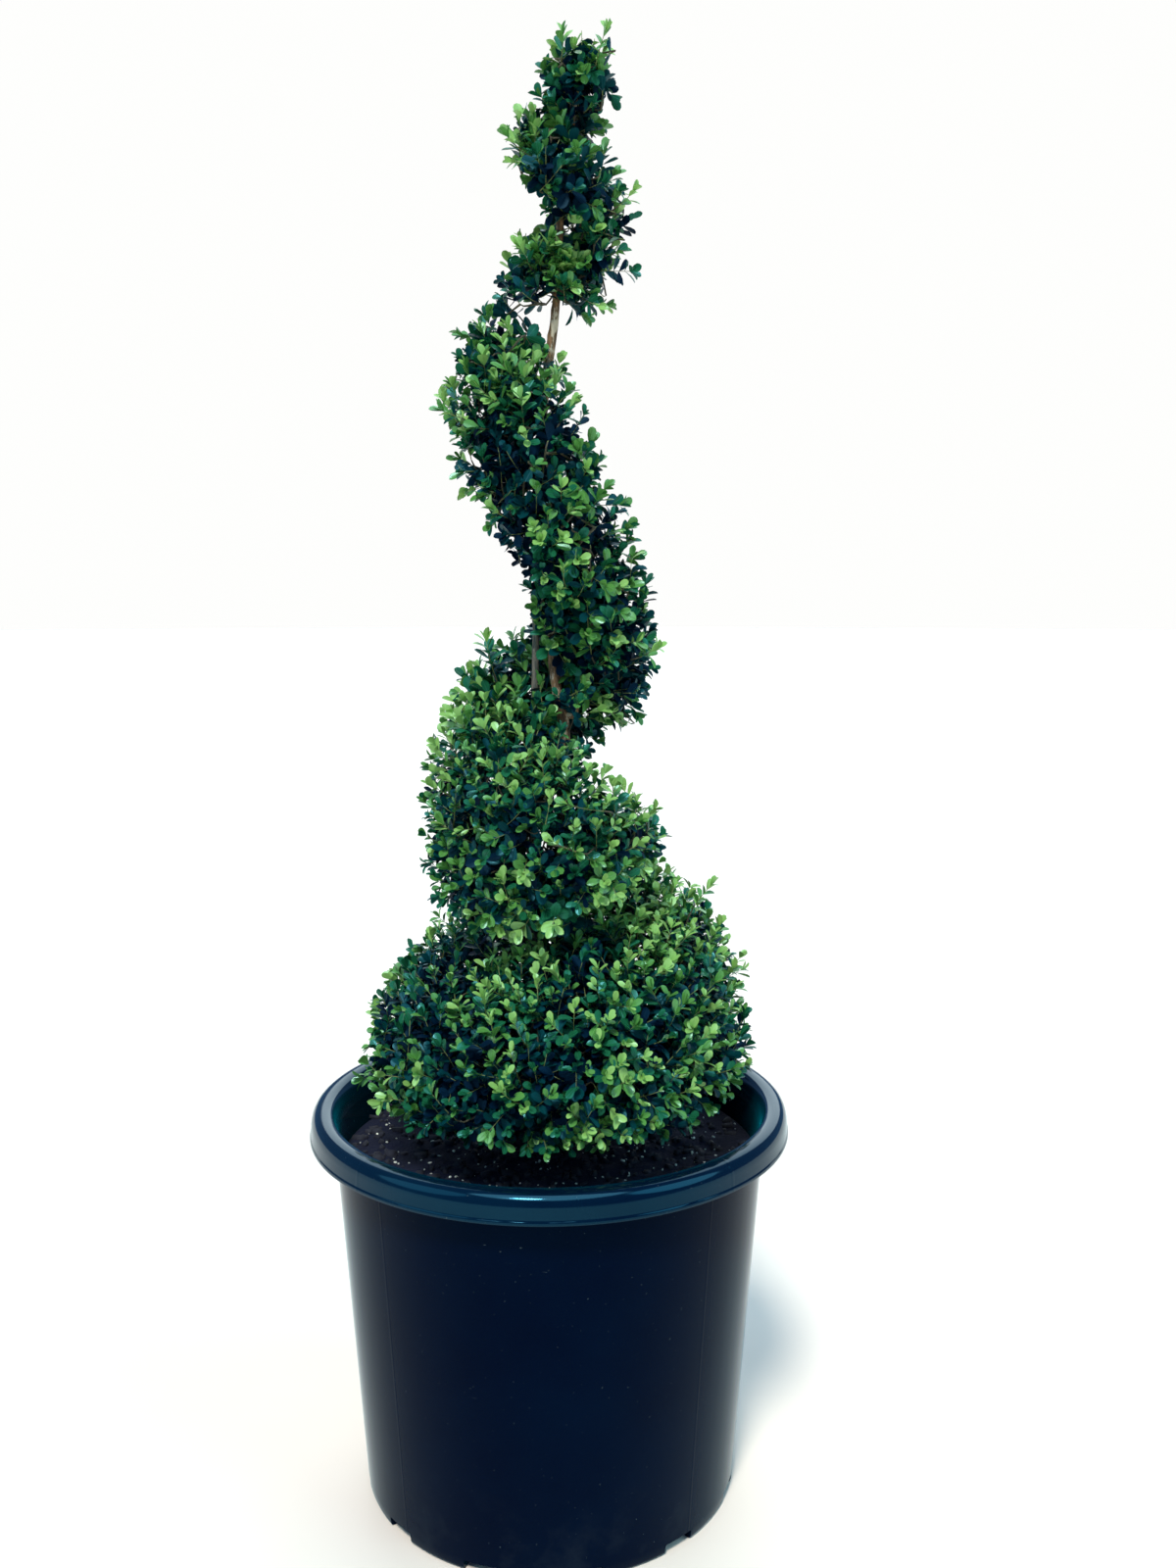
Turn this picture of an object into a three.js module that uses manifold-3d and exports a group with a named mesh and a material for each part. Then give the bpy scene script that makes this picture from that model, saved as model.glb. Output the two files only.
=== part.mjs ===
// Spiral topiary in a black nursery pot, in millimetres, +Z up, origin on the ground under the pot's middle.
// A left-handed spiral of clipped foliage climbs a thin trunk out of a wide skirt of leaves.
import * as THREE from "three";
import { LoftGeometry } from "three/addons/geometries/LoftGeometry.js";
import { mergeVertices } from "three/addons/utils/BufferGeometryUtils.js";
import Module from "manifold-3d";

// Driving sizes
const rimRadius = 225; // outside of the rolled collar
const potHeight = 370;
const plantTop = 1330;
const soilLevel = 325;
const gap = 0.3; // clearance between touching pieces
const wallThickness = 3;

// Pot
const footRadius = 0.79 * rimRadius;
const neckRadius = 0.9 * rimRadius; // body, where it meets the collar
const collarDrop = 25; // height of the collar's outer face
const floorThickness = 5;
const notchCount = 12;
const notchWidth = 32;
const notchHeight = 10;
const notchDepth = 44; // through the wall and across the floor's edge
const notchTurn = 0.0313; // first notch, in turns from +X
const potSides = 48;

// Trunk and stems: rows of [height, x, y, radius]
const trunkLine = [
  [soilLevel, 6, 0, 9.5],
  [450, 9, 2, 7.4],
  [600, 12, -1, 6.3],
  [700, 14, -3, 5.3],
  [733, 14.5, -4, 5.2],
  [752, 7, -4, 4.2],
  [780, 5.5, -3, 4],
  [810, 0, -3, 4],
  [850, -8, -3, 4],
  [910, -11, 0, 4],
  [980, -6, 3, 4],
  [1048, 1, 1, 4],
  [1100, 8.5, 0, 3.8],
  [1160, 11, 0, 3.4],
  [1210, 16, 2, 2.8],
  [1260, 24, 4, 2],
  [1305, 32, 3, 1.3],
];
const secondStemLine = [
  [soilLevel, -20, 7, 6.2],
  [450, -18, 6, 5.2],
  [600, -15, 5, 4.4],
  [750, -13, 4, 3.6],
  [820, -11, 5.5, 3.2],
  [860, -11, 7, 2.9],
  [910, -10, 10.5, 2.2],
  [960, -3, 13, 1.4],
];
const flareHeight = 40; // root flare of trunk and second stem
const flareSpread = 0.55; // share added to the radius at the ground
const knuckleHeight = 733;
const knuckleSwell = 1.6;
const knuckleLength = 12;
const boughStart = new THREE.Vector3(19.5, -1.5, 735);
const boughBend = new THREE.Vector3(23, 3, 746);
const boughEnd = new THREE.Vector3(30, 9, 757);
const boughRadius = 3.2;
const boughTipRadius = 2.5;

// Spiral: rows of [turn, underside, top, reach from the trunk], a quarter turn apart for the most part.
// Turn 0 faces +X, and a rising turn goes clockwise seen from above: +X, -Y, -X, +Y.
const spiralRows = [
  [-0.19, 612, 636, 84],
  [-0.1, 611, 640, 86],
  [0, 606, 652, 92],
  [0.125, 572, 688, 112],
  [0.25, 542, 730, 126],
  [0.5, 548, 772, 129],
  [0.625, 600, 816, 118],
  [0.75, 662, 845, 108],
  [1, 732, 912, 99],
  [1.125, 788, 1026, 84],
  [1.25, 842, 1050, 82],
  [1.375, 884, 1074, 84],
  [1.5, 965, 1110, 88],
  [1.625, 1102, 1172, 58],
  [1.75, 1112, 1194, 48],
  [2, 1084, 1230, 58],
  [2.25, 1168, 1240, 52],
  [2.5, 1200, 1282, 56],
  [2.625, 1216, 1298, 52],
  [2.75, 1232, 1304, 41],
  [3, 1246, 1314, 42],
];
const spiralJoints = [-0.19, 0.14, 0.47, 0.8, 1.13, 1.46, 1.62, 1.95, 2.28, 2.61, 2.94];
const sectionStep = 0.036; // turns between two sections of a mass

// Skirt of foliage over the rim
const skirtUnderside = 366;
const skirtReach = 182;
const skirtShoulder = 440; // above this the skirt slopes in
const skirtSlope = 0.25;
const skirtTopMean = 573;
const skirtTopSwing = [31, 28]; // how much higher the top is towards +X and towards +Y
const grooveGap = 5; // between the skirt's top and the spiral's first turn
const skirtJoints = [0.12, 0.453, 0.787, 1.12];

// Tip of the crown
const tipUnderside = 1266;
const tipRadius = 27;
const tipRings = 10;
const tipSides = 16;
const tipEndShare = 0.02; // of the tip's height, left off the ends of its round profile

const topRoundness = 2.7; // of a section's corners: 2 is an ellipse, more is squarer
const undersideRoundness = 2.7;
const lowUndersideRoundness = 5; // the skirt and the first turn are clipped flat underneath
const softeningTurns = [0.5, 0.8]; // where the flat underside gives way to the round one
const tipRoundness = 2.3;
const lumpHeight = 4.2;
const trunkClearance = 2.5;
const jointGap = 0.4;
const facePoints = 12; // points of a section from its underside over the clipped face to its top
const backSpacing = 60;

const wasm = await Module();
wasm.setup();

// Cubic interpolation in rows whose first number is the place: returns the other numbers there.
function rowAt(rows, place) {
  const last = rows.length - 2;
  const found = rows.findIndex((row, i) => i < rows.length - 1 && place <= rows[i + 1][0]);
  const i = found < 0 ? last : found;
  const [a, b] = [rows[i], rows[i + 1]];
  const before = rows[Math.max(i - 1, 0)];
  const after = rows[Math.min(i + 2, rows.length - 1)];
  const span = b[0] - a[0];
  const t = THREE.MathUtils.clamp((place - a[0]) / span, 0, 1);
  return a.slice(1).map((value, k) => {
    const startSlope = ((b[k + 1] - before[k + 1]) / (b[0] - before[0])) * span;
    const endSlope = ((after[k + 1] - value) / (after[0] - a[0])) * span;
    const rise = b[k + 1] - value;
    return value + t * (startSlope + t * (3 * rise - 2 * startSlope - endSlope
      + t * (startSlope + endSlope - 2 * rise)));
  });
}

function trunkAt(z) {
  const [x, y, radius] = rowAt(trunkLine, z);
  return { x, y, radius };
}

// Lumps of clipped foliage: a few waves round the plant and up it.
function lumps(angle, z) {
  return lumpHeight * (0.45 * Math.sin(5 * angle + z / 19) + 0.35 * Math.sin(9 * angle - z / 13 + 1)
    + 0.3 * Math.sin(13 * angle + z / 9 + 4));
}

function solidOf(geometry) {
  const bare = new THREE.BufferGeometry();
  bare.setAttribute("position", geometry.attributes.position);
  bare.setIndex(geometry.index);
  const merged = mergeVertices(bare, 1e-3);
  return new wasm.Manifold(new wasm.Mesh({
    numProp: 3,
    vertProperties: merged.attributes.position.array,
    triVerts: new Uint32Array(merged.index.array),
  }));
}

function geometryOf(solid) {
  const mesh = solid.getMesh();
  const geometry = new THREE.BufferGeometry();
  geometry.setAttribute("position", new THREE.BufferAttribute(mesh.vertProperties, 3));
  geometry.setIndex(new THREE.BufferAttribute(mesh.triVerts, 1));
  geometry.computeVertexNormals();
  return geometry;
}

// A limb of level rings along rows of [height, x, y, radius], grown by extra all round.
function limbGeometry({ rows, sides, spacing, swell, extra }) {
  const bottom = rows[0][0];
  const top = rows[rows.length - 1][0];
  const count = Math.ceil((top - bottom) / spacing);
  const rings = [];
  for (let i = 0; i <= count; i++) {
    const z = bottom + ((top - bottom) * i) / count;
    const [x, y, radius] = rowAt(rows, z);
    const flare = Math.max(0, 1 - (z - bottom) / flareHeight) ** 2 * flareSpread;
    const ring = [];
    for (let j = 0; j < sides; j++) {
      const angle = (2 * Math.PI * j) / sides;
      const root = 1 + flare * (1 + 0.45 * Math.cos(3 * angle + x));
      const r = radius * root + swell(z, angle) + extra;
      ring.push(new THREE.Vector3(x + r * Math.cos(angle), y + r * Math.sin(angle), z));
    }
    rings.push(ring);
  }
  if (extra > 0) {
    rings[0].forEach((point) => (point.z -= extra));
    rings[count].forEach((point) => (point.z += extra));
  }
  return new LoftGeometry(rings, { capStart: true, capEnd: true });
}

// The trunk swells at its knuckle, towards the bough.
function trunkGeometry(extra) {
  const swell = (z, angle) => {
    const near = Math.exp(-(((z - knuckleHeight) / knuckleLength) ** 2));
    return knuckleSwell * near * (0.6 + 0.4 * Math.cos(angle));
  };
  return limbGeometry({ rows: trunkLine, sides: 12, spacing: 22, swell, extra });
}

function stemGeometry(extra) {
  return limbGeometry({ rows: secondStemLine, sides: 8, spacing: 40, swell: () => 0, extra });
}

// The short bough is lofted from rings square to its own curve.
function boughGeometry(extra) {
  const curve = new THREE.QuadraticBezierCurve3(boughStart, boughBend, boughEnd);
  const steps = 5;
  const sides = 8;
  const rings = [];
  for (let i = 0; i <= steps; i++) {
    const t = i / steps;
    const middle = curve.getPoint(t);
    const along = curve.getTangent(t);
    const side = new THREE.Vector3(0, 0, 1).cross(along).normalize();
    const up = along.clone().cross(side);
    const r = THREE.MathUtils.lerp(boughRadius, boughTipRadius, t) + extra;
    const ring = [];
    for (let j = 0; j < sides; j++) {
      const angle = (2 * Math.PI * j) / sides;
      ring.push(middle.clone()
        .addScaledVector(side, r * Math.cos(angle))
        .addScaledVector(up, r * Math.sin(angle)));
    }
    rings.push(ring);
  }
  return new LoftGeometry(rings, { capStart: true, capEnd: true });
}

// One upright section of foliage at a turn: out along the underside, up the clipped face, in over the top,
// and back down along the trunk. Shift moves it along the spiral, against its rise.
function foliageSection({ turn, underside, top, reachAt, lowRoundness, shift, backSteps }) {
  const angle = -2 * Math.PI * turn;
  const out = new THREE.Vector3(Math.cos(angle), Math.sin(angle), 0);
  const back = new THREE.Vector3(-out.y, out.x, 0);
  const middle = trunkAt((underside + top) / 2);
  const section = [];
  // The section stays in the upright plane through the trunk's middle, and its back follows the trunk's lean.
  const put = (z, reach) => {
    const trunk = trunkAt(z);
    const lean = (trunk.x - middle.x) * out.x + (trunk.y - middle.y) * out.y;
    const r = lean + trunk.radius + trunkClearance + reach;
    const point = new THREE.Vector3(middle.x, middle.y, z);
    section.push(point.addScaledVector(out, r).addScaledVector(back, shift));
  };
  for (let i = 0; i < facePoints; i++) {
    const s = (1 - Math.cos((Math.PI * i) / (facePoints - 1))) / 2;
    const z = THREE.MathUtils.lerp(underside, top, s);
    const roundness = s < 0.5 ? lowRoundness : topRoundness;
    const fullness = Math.max(0, 1 - Math.abs(2 * s - 1) ** roundness) ** (1 / roundness);
    put(z, (reachAt(z) - trunkAt(z).radius - trunkClearance + lumps(angle, z)) * fullness);
  }
  for (let i = 1; i < backSteps; i++) put(THREE.MathUtils.lerp(top, underside, i / backSteps), 0);
  return section;
}

// A mass of foliage is lofted through its sections, and its two ends stand clear of its neighbours.
function foliageGeometry(from, to, bandAt) {
  const count = Math.ceil((to - from) / sectionStep);
  const middle = bandAt((from + to) / 2);
  const backSteps = Math.max(2, Math.round((middle.top - middle.underside) / backSpacing));
  const sections = [];
  for (let i = 0; i <= count; i++) {
    const turn = THREE.MathUtils.lerp(from, to, i / count);
    const endGap = { 0: -jointGap / 2, [count]: jointGap / 2 };
    sections.push(foliageSection({ turn, ...bandAt(turn), shift: endGap[i] ?? 0, backSteps }));
  }
  return new LoftGeometry(sections, { capStart: true, capEnd: true });
}

function skirtTopAt(turn) {
  const angle = -2 * Math.PI * turn;
  return skirtTopMean + skirtTopSwing[0] * Math.cos(angle) + skirtTopSwing[1] * Math.sin(angle);
}

function skirtBand(turn, extra = 0) {
  const top = skirtTopAt(turn) + extra;
  const reachAt = (z) => skirtReach - skirtSlope * Math.max(0, z - skirtShoulder) + extra;
  return { underside: skirtUnderside, top, reachAt, lowRoundness: lowUndersideRoundness };
}

function spiralBand(turn) {
  const [row, top, reach] = rowAt(spiralRows, turn);
  const underside = Math.max(row, skirtTopAt(turn) + grooveGap);
  const risen = THREE.MathUtils.smoothstep(turn, ...softeningTurns);
  const lowRoundness = THREE.MathUtils.lerp(lowUndersideRoundness, undersideRoundness, risen);
  return { underside, top, reachAt: () => reach, lowRoundness };
}

// The tip of the crown: level rings round the leader, grown by extra all round.
function tipGeometry(extra) {
  const rings = [];
  for (let i = 0; i <= tipRings; i++) {
    const wave = (1 - Math.cos((Math.PI * i) / tipRings)) / 2;
    const s = THREE.MathUtils.lerp(tipEndShare, 1 - tipEndShare, wave);
    const z = THREE.MathUtils.lerp(tipUnderside - extra, plantTop + extra, wave);
    const trunk = trunkAt(z);
    const ring = [];
    for (let j = 0; j < tipSides; j++) {
      const angle = (2 * Math.PI * j) / tipSides;
      const fullness = (1 - Math.abs(2 * s - 1) ** tipRoundness) ** (1 / tipRoundness);
      const r = (tipRadius + lumps(angle, z)) * fullness + extra;
      ring.push(new THREE.Vector3(trunk.x + r * Math.cos(angle), trunk.y + r * Math.sin(angle), z));
    }
    rings.push(ring);
  }
  return new LoftGeometry(rings, { capStart: true, capEnd: true });
}

// The pot: a turned wall with a flat floor, and a rolled collar that is open underneath.
function potGeometry() {
  const lipBottom = potHeight - collarDrop;
  const innerNeck = neckRadius - wallThickness;
  const innerFoot = footRadius - wallThickness;
  const rollUnderside = potHeight - 5.5;
  const profile = [
    [0, 0],
    [footRadius - 4, 0], // rounded foot
    [footRadius - 1, 1.2],
    [footRadius, 4],
    [neckRadius, lipBottom + 2], // tapered wall, up to the hollow under the collar
    [neckRadius + 1, rollUnderside - 4.5],
    [neckRadius + 5, rollUnderside],
    [rimRadius - 9, rollUnderside],
    [rimRadius - 5, rollUnderside - 3.5],
    [rimRadius - 3.4, lipBottom],
    [rimRadius, lipBottom], // collar's lower lip and its small step
    [rimRadius, lipBottom + 3],
    [rimRadius - 1, lipBottom + 4],
    [rimRadius - 1.6, potHeight - 9], // roll, over to the inside
    [rimRadius - 4, potHeight - 3.5],
    [rimRadius - 9, potHeight - 0.6],
    [rimRadius - 14, potHeight],
    [innerNeck + 6, potHeight - 1],
    [innerNeck + 4, potHeight - 3.5],
    [innerNeck, potHeight - 12], // inside wall, down to the floor
    [innerNeck, lipBottom],
    [innerFoot, floorThickness + 3],
    [innerFoot - 3, floorThickness],
    [0, floorThickness],
  ];
  const points = profile.map(([r, z]) => new THREE.Vector2(r, z));
  return new THREE.LatheGeometry(points, potSides).rotateX(Math.PI / 2);
}

// Drain notches through the foot of the wall and the edge of the floor.
function potSolid() {
  let solid = solidOf(potGeometry());
  for (let i = 0; i < notchCount; i++) {
    const notch = new THREE.BoxGeometry(notchDepth, notchWidth, 2 * notchHeight);
    notch.translate(footRadius, 0, 0);
    notch.rotateZ(2 * Math.PI * (notchTurn + i / notchCount));
    solid = solid.subtract(solidOf(notch));
  }
  return solid;
}

// The potting mix fills the pot up to its level, clear of the wall, with its lower and upper edges taken off.
function soilGeometry() {
  const slope = (neckRadius - footRadius) / (potHeight - collarDrop);
  const edgeAt = (z) => footRadius - wallThickness + slope * z - 2 * gap;
  const [low, high] = [floorThickness + gap, soilLevel - gap];
  const outline = [
    [0, low],
    [edgeAt(low) - 5, low],
    [edgeAt(low), low + 5],
    [edgeAt(high) - 1, high - 4],
    [edgeAt(high) - 6, high],
    [0, high],
  ];
  const points = outline.map(([r, z]) => new THREE.Vector2(r, z));
  return new THREE.LatheGeometry(points, potSides).rotateX(Math.PI / 2);
}

const plastic = new THREE.MeshStandardMaterial({ color: 0x0b1418, roughness: 0.3, metalness: 0 });
const mix = new THREE.MeshStandardMaterial({ color: 0x15110d, roughness: 0.95, metalness: 0 });
const bark = new THREE.MeshStandardMaterial({ color: 0x7a5236, roughness: 0.85, metalness: 0 });
const leaves = new THREE.MeshStandardMaterial({ color: 0x2c6b2a, roughness: 0.5, metalness: 0 });

const topiary = new THREE.Group();

function addNode(name, solid, material) {
  const mesh = new THREE.Mesh(geometryOf(solid), material);
  mesh.name = name;
  topiary.add(mesh);
}

addNode("pot", potSolid(), plastic);
addNode("potting_mix", solidOf(soilGeometry()), mix);
addNode("trunk", solidOf(trunkGeometry(0)), bark);
addNode("second_stem", solidOf(stemGeometry(0)), bark);
// Grown copies of the limbs cut their room out of the foliage.
const roundTrunk = solidOf(trunkGeometry(gap));
addNode("knuckle_bough", solidOf(boughGeometry(0)).subtract(roundTrunk), bark);
const limbs = roundTrunk.add(solidOf(stemGeometry(2 * gap))).add(solidOf(boughGeometry(gap)));
let notSpiral = limbs.add(solidOf(tipGeometry(gap)));
for (let i = 0; i < skirtJoints.length - 1; i++) {
  const ends = [skirtJoints[i], skirtJoints[i + 1]];
  const mass = solidOf(foliageGeometry(...ends, (turn) => skirtBand(turn)));
  addNode(`foliage_skirt_${i + 1}`, mass.subtract(limbs), leaves);
  notSpiral = notSpiral.add(solidOf(foliageGeometry(...ends, (turn) => skirtBand(turn, 2 * gap))));
}
for (let i = 0; i < spiralJoints.length - 1; i++) {
  const mass = solidOf(foliageGeometry(spiralJoints[i], spiralJoints[i + 1], spiralBand));
  addNode(`foliage_spiral_${String(i + 1).padStart(2, "0")}`, mass.subtract(notSpiral), leaves);
}
addNode("foliage_tip", solidOf(tipGeometry(0)).subtract(limbs), leaves);

export default topiary;
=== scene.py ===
# Potted spiral topiary: the looks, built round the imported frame. Metres, +Z up.
import math
import random

import bmesh
import bpy
import numpy as np
from mathutils import Matrix, Vector, noise
from mathutils.bvhtree import BVHTree
from mathutils.kdtree import KDTree


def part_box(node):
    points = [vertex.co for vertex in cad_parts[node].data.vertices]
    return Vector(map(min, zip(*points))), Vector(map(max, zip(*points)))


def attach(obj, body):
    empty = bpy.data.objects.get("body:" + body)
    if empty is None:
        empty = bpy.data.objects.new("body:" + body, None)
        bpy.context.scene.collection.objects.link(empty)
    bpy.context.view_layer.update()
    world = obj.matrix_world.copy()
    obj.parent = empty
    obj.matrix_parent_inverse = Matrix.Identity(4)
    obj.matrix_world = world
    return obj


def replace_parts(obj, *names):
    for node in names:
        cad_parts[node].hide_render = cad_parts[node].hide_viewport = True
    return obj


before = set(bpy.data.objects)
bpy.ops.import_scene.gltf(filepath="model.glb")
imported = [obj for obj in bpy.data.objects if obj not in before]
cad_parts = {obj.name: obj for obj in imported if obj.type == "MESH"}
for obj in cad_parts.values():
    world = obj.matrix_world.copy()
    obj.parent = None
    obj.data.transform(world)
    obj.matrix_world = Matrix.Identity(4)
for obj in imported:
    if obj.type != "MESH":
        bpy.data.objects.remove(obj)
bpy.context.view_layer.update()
up = Vector((0, 0, 1))
print("frame loaded,", len(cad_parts), "nodes")


def newMaterial(name, **values):
    # socket names are given without their spaces
    material = bpy.data.materials.new(name)
    material.use_nodes = True
    shader = material.node_tree.nodes["Principled BSDF"]
    for socket in shader.inputs:
        value = values.get(socket.name.replace(" ", ""))
        if value is not None:
            socket.default_value = (*value, 1) if isinstance(value, tuple) else value
    return material, material.node_tree, shader


def addNode(tree, kind, inputs=None, **settings):
    # inputs holds plain values or the sockets to link from
    node = tree.nodes.new("ShaderNode" + kind)
    for key, value in settings.items():
        setattr(node, key, value)
    for key, value in (inputs or {}).items():
        if isinstance(value, bpy.types.NodeSocket):
            tree.links.new(value, node.inputs[key])
        else:
            node.inputs[key].default_value = value
    return node


def addNoise(tree, place, scale, detail=4.0, roughness=0.6):
    inputs = {"Vector": place, "Scale": scale, "Detail": detail, "Roughness": roughness}
    return addNode(tree, "TexNoise", inputs).outputs["Fac"]


def addRange(tree, value, low, high, toLow, toHigh):
    inputs = {"Value": value, "From Min": low, "From Max": high, "To Min": toLow, "To Max": toHigh}
    return addNode(tree, "MapRange", inputs).outputs["Result"]


def addMask(tree, value, low, high, strength):
    # nothing below low, and the full strength above high
    return addRange(tree, value, low, high, 0.0, strength)


def addRamp(tree, value, stops):
    ramp = addNode(tree, "ValToRGB", {"Fac": value})
    elements = ramp.color_ramp.elements
    while len(elements) < len(stops):
        elements.new(0.5)
    for element, (place, colour) in zip(elements, stops):
        element.position = place
        element.color = (*colour, 1)
    return ramp.outputs["Color"]


def addBump(tree, height, distance, strength=1.0):
    inputs = {"Height": height, "Distance": distance, "Strength": strength}
    return addNode(tree, "Bump", inputs).outputs["Normal"]


def addMath(tree, operation, first, second=0.0):
    return addNode(tree, "Math", {0: first, 1: second}, operation=operation).outputs[0]


def objectPlace(tree, stretch=(1, 1, 1)):
    coordinates = addNode(tree, "TexCoord")
    mapping = addNode(tree, "Mapping", {"Vector": coordinates.outputs["Object"], "Scale": stretch})
    return mapping.outputs["Vector"]


def newPiece(name, mesh, materials):
    piece = bpy.data.objects.new(name, mesh)
    bpy.context.scene.collection.objects.link(piece)
    for material in materials:
        mesh.materials.append(material)
    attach(piece, "root")
    return piece


def meshOf(bm, name, smoothAngle=None):
    mesh = bpy.data.meshes.new(name)
    bm.to_mesh(mesh)
    bm.free()
    if smoothAngle is not None:
        mesh.shade_smooth()
        mesh.set_sharp_from_angle(angle=math.radians(smoothAngle))
    return mesh


def applyModifiers(piece):
    graph = bpy.context.evaluated_depsgraph_get()
    mesh = bpy.data.meshes.new_from_object(piece.evaluated_get(graph))
    piece.modifiers.clear()
    piece.data = mesh


def mergedCopy(node):
    # a node's mesh with its corners joined up
    bm = bmesh.new()
    bm.from_mesh(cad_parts[node].data)
    bmesh.ops.remove_doubles(bm, verts=bm.verts, dist=1e-5)
    return bm


def joinedMesh(name, points, faces, slots=None, uvs=None):
    # many small things from arrays: faces is a list of index arrays, one for each number of corners
    mesh = bpy.data.meshes.new(name)
    corners = np.concatenate([group.ravel() for group in faces]).astype(np.int32)
    sizes = np.concatenate([np.full(len(group), group.shape[1]) for group in faces])
    mesh.vertices.add(len(points))
    mesh.vertices.foreach_set("co", points.astype(np.float32).ravel())
    mesh.loops.add(len(corners))
    mesh.loops.foreach_set("vertex_index", corners)
    mesh.polygons.add(len(sizes))
    mesh.polygons.foreach_set("loop_start", np.append(0, np.cumsum(sizes)[:-1]).astype(np.int32))
    if slots is not None:
        mesh.polygons.foreach_set("material_index", slots.astype(np.int32))
    if uvs is not None:
        layer = mesh.uv_layers.new(name="OFBake")
        layer.data.foreach_set("uv", uvs[corners].astype(np.float32).ravel())
    mesh.update(calc_edges=True)
    mesh.shade_smooth()
    return mesh


view = {
    "place": (0.0362, -1.2668, 0.8393),
    "pitch": -7.61,  # degrees, downwards
    "lens": 31.75,
    "longSide": 36,  # of the picture, in the lens's millimetres
}


def makeCamera():
    data = bpy.data.cameras.new("camera")
    data.lens = view["lens"]
    data.sensor_width = view["longSide"]
    camera = bpy.data.objects.new("camera", data)
    bpy.context.scene.collection.objects.link(camera)
    camera.location = view["place"]
    camera.rotation_euler = (math.radians(90 + view["pitch"]), 0, 0)
    bpy.context.scene.camera = camera


studio = {
    "seen": (0.99, 0.992, 0.98),  # the plain background
    "air": (0.25, 0.5, 1.0),
    "airStrength": 0.38,
    "floor": (0.93, 0.81, 0.7),
    "floorRadius": 40,
    "floorDrop": 0.0005,  # the pot stands this far clear of the floor
    "suns": [  # name, direction it comes from, strength, softness in degrees, colour
        ("key", (-0.2, -0.9, 1.25), 2.9, 11, (1.0, 0.99, 0.93)),
        ("left", (-1.0, -0.45, 0.75), 0.5, 40, (0.5, 0.92, 1.0)),
        ("right", (1.0, -0.4, 0.8), 1.0, 40, (0.5, 0.92, 1.0)),
        ("back", (0.1, 1.0, 0.8), 1.3, 55, (0.9, 1.0, 0.97)),
        ("shine", (0.0, -0.45, 1.0), 2.2, 50, (0.95, 1.0, 1.0)),  # lights gloss alone
    ],
}


def makeStudio():
    world = bpy.data.worlds.new("studio")
    world.use_nodes = True
    tree = world.node_tree
    air = tree.nodes["Background"]
    air.inputs["Color"].default_value = (*studio["air"], 1)
    air.inputs["Strength"].default_value = studio["airStrength"]
    seen = addNode(tree, "Background", {"Color": (*studio["seen"], 1), "Strength": 1.0})
    direct = addNode(tree, "LightPath").outputs["Is Camera Ray"]
    both = addNode(tree, "MixShader", {0: direct, 1: air.outputs[0], 2: seen.outputs[0]})
    tree.links.new(both.outputs[0], tree.nodes["World Output"].inputs["Surface"])
    bpy.context.scene.world = world
    bpy.context.scene.view_settings.view_transform = "Standard"
    for name, origin, strength, softness, colour in studio["suns"]:
        lamp = bpy.data.lights.new(name, "SUN")
        lamp.energy = strength
        lamp.angle = math.radians(softness)
        lamp.color = colour
        holder = bpy.data.objects.new(name, lamp)
        holder.location = origin
        holder.rotation_euler = Vector(origin).to_track_quat("Z", "Y").to_euler()
        holder.visible_diffuse = name != "shine"
        bpy.context.scene.collection.objects.link(holder)


def makeFloor():
    bm = bmesh.new()
    bmesh.ops.create_circle(bm, cap_ends=True, segments=96, radius=studio["floorRadius"])
    bmesh.ops.translate(bm, verts=bm.verts, vec=(0, 0, -studio["floorDrop"]))
    floor = bpy.data.objects.new("floor", meshOf(bm, "floor"))
    bpy.context.scene.collection.objects.link(floor)
    material, tree, shader = newMaterial("pale floor", BaseColor=studio["floor"], Roughness=0.6)
    grain = addNoise(tree, objectPlace(tree), 9.0)
    tree.links.new(addRange(tree, grain, 0.3, 0.7, 0.5, 0.65), shader.inputs["Roughness"])
    floor.data.materials.append(material)


makeCamera()
makeStudio()
makeFloor()
print("studio made")


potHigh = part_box("pot")[1]
rimRadius = potHigh.x
potHeight = potHigh.z
pot = {
    "foot": 0.79 * rimRadius,
    "neck": 0.9 * rimRadius,
    "wall": 0.003,
    "floor": 0.005,
    "footRound": 0.004,
    "collarDrop": 0.025,
    "collarTop": 0.0055,  # thickness over the hollow
    "rings": (0.0118, 0.016, 0.03),  # heights of extra rings over the notches
    "sides": 144,
    "notches": 12,
    "notchWidth": 0.032,
    "notchHeight": 0.01,
    "notchReach": 0.044,  # through the wall and the floor's edge
    "notchRound": 0.002,
    "firstNotch": 0.0313,  # in turns from +X
    "round": 0.0008,
}


def spinOutline(outline, sides):
    bm = bmesh.new()
    ring = [bm.verts.new((r, 0, z)) for r, z in outline]
    edges = [bm.edges.new(pair) for pair in zip(ring, ring[1:])]
    bmesh.ops.spin(bm, geom=ring + edges, cent=(0, 0, 0), axis=(0, 0, 1), angle=2 * math.pi,
                   steps=sides, use_merge=True, use_duplicate=False)
    bmesh.ops.remove_doubles(bm, verts=bm.verts, dist=1e-6)
    bmesh.ops.recalc_face_normals(bm, faces=bm.faces)
    return bm


def bevelCorners(bm, width, segments, least):
    # rounds the edges that turn by more than the least angle, in degrees
    edges = [e for e in bm.edges if e.is_manifold and e.calc_face_angle(0) > math.radians(least)]
    bmesh.ops.bevel(bm, geom=edges, offset=width, offset_type="OFFSET", affect="EDGES",
                    segments=segments, profile=0.5, material=-1, clamp_overlap=True)


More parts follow.
